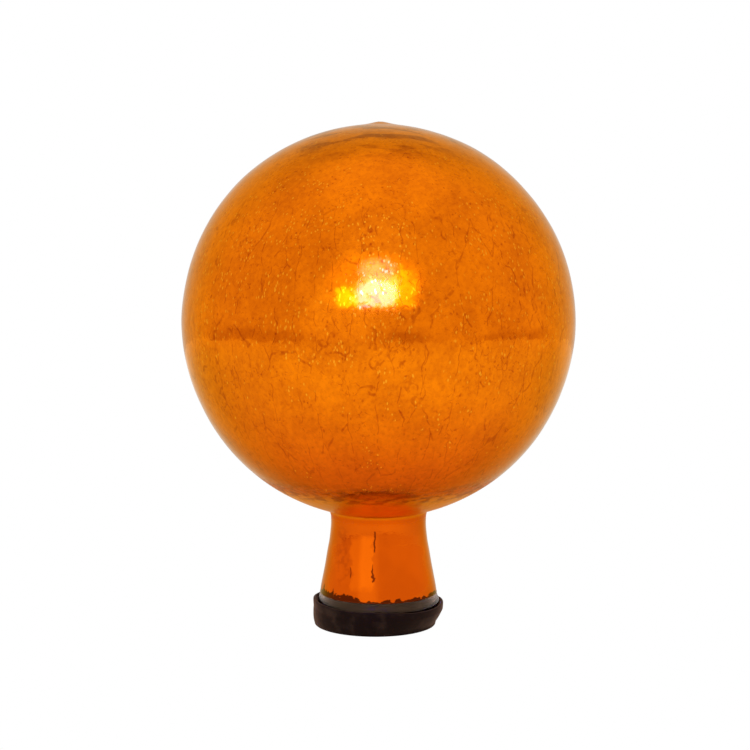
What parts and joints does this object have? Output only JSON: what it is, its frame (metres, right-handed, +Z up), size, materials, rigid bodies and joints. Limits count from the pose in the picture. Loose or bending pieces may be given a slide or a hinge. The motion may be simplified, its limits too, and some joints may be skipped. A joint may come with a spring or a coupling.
{
  "type": "gazing ball",
  "caption": "Hollow mirrored glass ball with a flared neck, standing on the rubber cap that closes the neck.",
  "frame": {"origin": "centre of the cap's flat underside, under the middle of the ball", "axes": "+Z up along the neck, towards the top of the ball; -Y is the front; +X is the side where the cap's rim sits lowest"},
  "size_m": [0.254, 0.254, 0.3267],
  "materials": {
    "orange_mirror_glass": "glossy clear crackle glass over an orange mirror coat, bare clear glass at the lip",
    "black_rubber": "matt, greyed with dust on its sides"
  },
  "bodies": {
    "root": {"glass_globe": "orange_mirror_glass", "rubber_cap": "black_rubber"}
  },
  "joints": []
}
